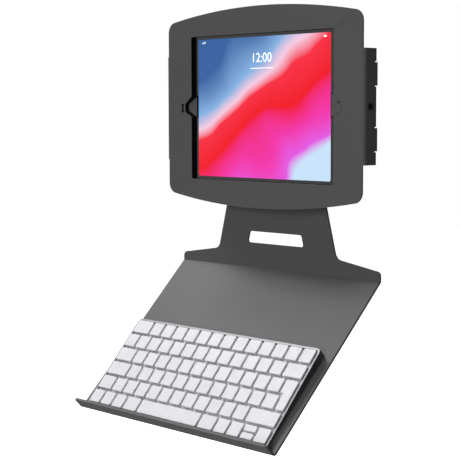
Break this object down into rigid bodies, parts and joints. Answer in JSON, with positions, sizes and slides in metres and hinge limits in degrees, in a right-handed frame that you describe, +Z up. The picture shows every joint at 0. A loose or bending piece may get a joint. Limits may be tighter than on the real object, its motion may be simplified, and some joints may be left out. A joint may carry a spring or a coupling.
{
  "type": "tablet stand",
  "caption": "Bracket-mounted tablet stand: a lockable enclosure frames a tablet above a sloping tray with a lip that holds a slim keyboard.",
  "frame": {"origin": "centre of the 100 mm VESA hole pattern, on the back face of the upright", "axes": "+X to the user's right, +Y towards the wall or arm, +Z up"},
  "size_m": [0.2981, 0.1648, 0.4359],
  "materials": {
    "bracket_coat": "fine-textured powder coat, dark grey",
    "cover_coat": "fine-textured powder coat, dark grey",
    "shell_coat": "powder coat, near black",
    "plate_coat": "powder coat, dark grey, with a black tail",
    "zinc_steel": "zinc-plated steel",
    "lock_black": "black nickel",
    "foam": "closed-cell foam, black",
    "tablet_metal": "blasted and anodised",
    "tablet_glass": "black-bordered cover glass",
    "display": "display panel, lit",
    "button_plastic": "gloss black with a polished ring",
    "board_metal": "blasted and anodised silver",
    "board_underside": "smooth light plastic",
    "board_rubber": "grey rubber",
    "battery_wrap": "shrink wrap",
    "switch_membrane": "dark membrane sheet",
    "keycaps": "fine satin, near white, no legends"
  },
  "bodies": {
    "stand": {"tray_bracket": "bracket_coat", "vesa_inserts": "zinc_steel", "back_shell": "shell_coat", "enclosure_screws": "zinc_steel", "enclosure_nuts": "zinc_steel", "foam_back": "foam", "lock_strike": "zinc_steel", "tablet_body": "tablet_metal", "tablet_glass": "tablet_glass", "tablet_display": "display"},
    "cover": {"front_cover": "cover_coat", "home_button_cover": "plate_coat", "camera_cover": "plate_coat", "foam_top": "foam", "foam_bottom": "foam", "foam_left": "foam", "foam_right": "foam", "lock_barrel": "lock_black", "lock_nut": "lock_black"},
    "lock_core": {"lock_plug": "lock_black", "lock_cam": "zinc_steel"},
    "home_button": {"tablet_home_button": "button_plastic"},
    "keyboard": {"keyboard_case": "board_metal", "keyboard_base": "board_underside", "keyboard_feet": "board_rubber", "keyboard_battery": "battery_wrap", "switch_sheet": "switch_membrane"},
    "key_row_1": {"key_row_1": "keycaps"},
    "key_row_2": {"key_row_2": "keycaps"},
    "key_row_3": {"key_row_3": "keycaps"},
    "key_row_4": {"key_row_4": "keycaps"},
    "key_row_5": {"key_row_5": "keycaps"},
    "key_row_6": {"key_row_6": "keycaps"},
    "space_bar": {"space_bar": "keycaps"},
    "enter_key": {"enter_key": "keycaps"},
    "arrow_keys": {"arrow_keys": "keycaps"}
  },
  "joints": [
    {"name": "cover_swing", "type": "hinge", "parent": "stand", "child": "cover", "pos_m": [-0.1487, -0.01, 0], "axis": [0, 0, -1], "range_deg": [0, 105]},
    {"name": "lock_turn", "type": "hinge", "parent": "cover", "child": "lock_core", "pos_m": [0.1362, -0.0183, 0], "axis": [1, 0, 0], "range_deg": [0, 90]},
    {"name": "home_button_press", "type": "slide", "parent": "stand", "child": "home_button", "axis": [0, 1, 0], "range_m": [0, 0.0003], "stiffness_N_per_m": 2000, "springref_m": -0.0002},
    {"name": "keyboard_lift", "type": "slide", "parent": "stand", "child": "keyboard", "axis": [0, -0.7071, 0.7071], "range_m": [0, 0.04]},
    {"name": "key_row_1_press", "type": "slide", "parent": "keyboard", "child": "key_row_1", "axis": [0, 0.7447, -0.6674], "range_m": [0, 0.001], "stiffness_N_per_m": 1000, "springref_m": -0.0003},
    {"name": "key_row_2_press", "type": "slide", "parent": "keyboard", "child": "key_row_2", "axis": [0, 0.7447, -0.6674], "range_m": [0, 0.001], "stiffness_N_per_m": 1000, "springref_m": -0.0003},
    {"name": "key_row_3_press", "type": "slide", "parent": "keyboard", "child": "key_row_3", "axis": [0, 0.7447, -0.6674], "range_m": [0, 0.001], "stiffness_N_per_m": 1000, "springref_m": -0.0003},
    {"name": "key_row_4_press", "type": "slide", "parent": "keyboard", "child": "key_row_4", "axis": [0, 0.7447, -0.6674], "range_m": [0, 0.001], "stiffness_N_per_m": 1000, "springref_m": -0.0003},
    {"name": "key_row_5_press", "type": "slide", "parent": "keyboard", "child": "key_row_5", "axis": [0, 0.7447, -0.6674], "range_m": [0, 0.001], "stiffness_N_per_m": 1000, "springref_m": -0.0003},
    {"name": "key_row_6_press", "type": "slide", "parent": "keyboard", "child": "key_row_6", "axis": [0, 0.7447, -0.6674], "range_m": [0, 0.001], "stiffness_N_per_m": 1000, "springref_m": -0.0003},
    {"name": "space_bar_press", "type": "slide", "parent": "keyboard", "child": "space_bar", "axis": [0, 0.7447, -0.6674], "range_m": [0, 0.001], "stiffness_N_per_m": 1000, "springref_m": -0.0003},
    {"name": "enter_key_press", "type": "slide", "parent": "keyboard", "child": "enter_key", "axis": [0, 0.7447, -0.6674], "range_m": [0, 0.001], "stiffness_N_per_m": 1000, "springref_m": -0.0003},
    {"name": "arrow_keys_press", "type": "slide", "parent": "keyboard", "child": "arrow_keys", "axis": [0, 0.7447, -0.6674], "range_m": [0, 0.001], "stiffness_N_per_m": 1000, "springref_m": -0.0003}
  ]
}
